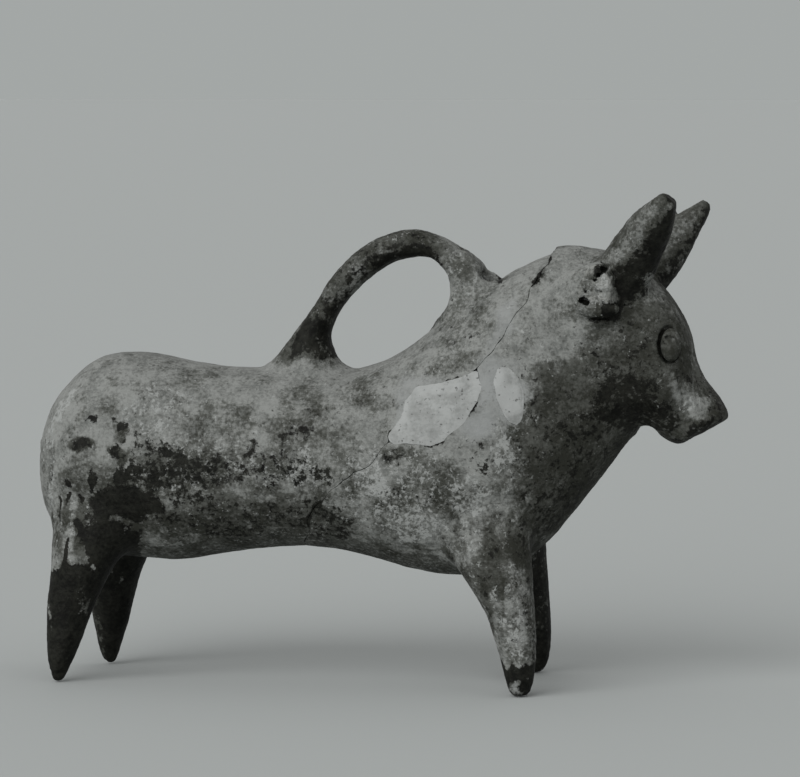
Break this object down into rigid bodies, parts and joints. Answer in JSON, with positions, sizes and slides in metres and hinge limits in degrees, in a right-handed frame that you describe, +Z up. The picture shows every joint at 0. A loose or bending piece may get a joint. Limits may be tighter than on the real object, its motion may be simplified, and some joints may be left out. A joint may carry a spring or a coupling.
{
  "type": "bull-shaped vessel",
  "caption": "Hand-built clay pouring vessel shaped as a standing bull, with a loop handle on its back, a filling hole at the nape and a pouring hole in the muzzle.",
  "frame": {"origin": "on the ground plane under the middle of the whole vessel's box", "axes": "+X towards the bull's head, +Y towards its left side, +Z up"},
  "size_m": [0.173, 0.047, 0.1229],
  "materials": {
    "body_slip": "dark slip worn through to pale clay in patches, faintly burnished",
    "leg_slip": "dark slip with lighter worn streaks",
    "handle_slip": "dark slip, worn paler along the outer edge",
    "horn_clay": "pale pitted clay behind, dark slip in front",
    "broken_clay": "rough broken clay, pitted",
    "eye_clay": "smooth pressed clay pellet",
    "plaster": "smoothed matt plaster repair"
  },
  "bodies": {
    "root": {"rear_body": "body_slip", "front_body": "body_slip", "head": "body_slip", "tail": "body_slip", "front_right_leg": "leg_slip", "front_left_leg": "leg_slip", "hind_right_leg": "leg_slip", "hind_left_leg": "leg_slip", "handle": "handle_slip", "right_horn": "horn_clay", "left_horn": "horn_clay", "right_ear_stub": "broken_clay", "left_ear": "body_slip", "right_eye": "eye_clay", "left_eye": "eye_clay", "large_plaster_fill": "plaster", "small_plaster_fill": "plaster"}
  },
  "joints": []
}
